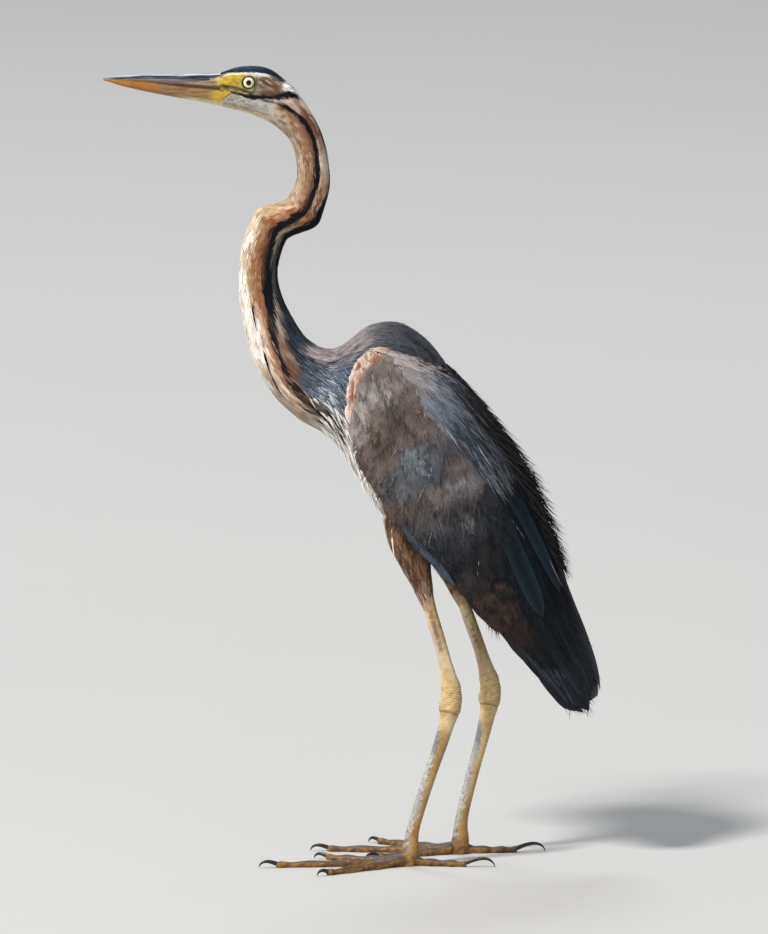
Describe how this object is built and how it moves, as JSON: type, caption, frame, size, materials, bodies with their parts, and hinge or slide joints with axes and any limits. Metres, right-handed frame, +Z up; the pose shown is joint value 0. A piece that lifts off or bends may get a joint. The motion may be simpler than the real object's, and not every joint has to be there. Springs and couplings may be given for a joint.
{
  "type": "purple heron figure",
  "caption": "Still, life-size figure of a standing purple heron with its neck in an S, its wings folded and its toes spread on the floor.",
  "frame": {"origin": "on the floor, under the middle of the bird's length and width", "axes": "+X to the bird's left, +Y from its bill to its tail, +Z up"},
  "size_m": [0.2012, 0.4568, 0.7368],
  "materials": {
    "head_feathers": "short soft feathers",
    "neck_feathers": "short soft feathers, streaked",
    "body_feathers": "slate grey feathers",
    "wing_feathers": "layered feathers",
    "tail_feathers": "stiff dark feathers",
    "thigh_feathers": "short rufous feathers",
    "bill_horn": "smooth horn",
    "claw_horn": "smooth black horn",
    "leg_skin": "scaled bare skin",
    "toe_skin": "scaled bare skin",
    "eye": "wet and glossy"
  },
  "bodies": {
    "root": {"head": "head_feathers", "neck_upper": "neck_feathers", "neck_kink": "neck_feathers", "neck_lower": "neck_feathers", "trunk": "body_feathers", "bill_upper": "bill_horn", "bill_lower": "bill_horn", "eye_left": "eye", "eye_right": "eye", "wing_left": "wing_feathers", "wing_right": "wing_feathers", "tail": "tail_feathers", "thigh_left": "thigh_feathers", "shank_left": "leg_skin", "tarsus_left": "leg_skin", "toe_middle_left": "toe_skin", "claw_middle_left": "claw_horn", "toe_outer_left": "toe_skin", "claw_outer_left": "claw_horn", "toe_inner_left": "toe_skin", "claw_inner_left": "claw_horn", "toe_hind_left": "toe_skin", "claw_hind_left": "claw_horn", "thigh_right": "thigh_feathers", "shank_right": "leg_skin", "tarsus_right": "leg_skin", "toe_middle_right": "toe_skin", "claw_middle_right": "claw_horn", "toe_outer_right": "toe_skin", "claw_outer_right": "claw_horn", "toe_inner_right": "toe_skin", "claw_inner_right": "claw_horn", "toe_hind_right": "toe_skin", "claw_hind_right": "claw_horn"}
  },
  "joints": []
}
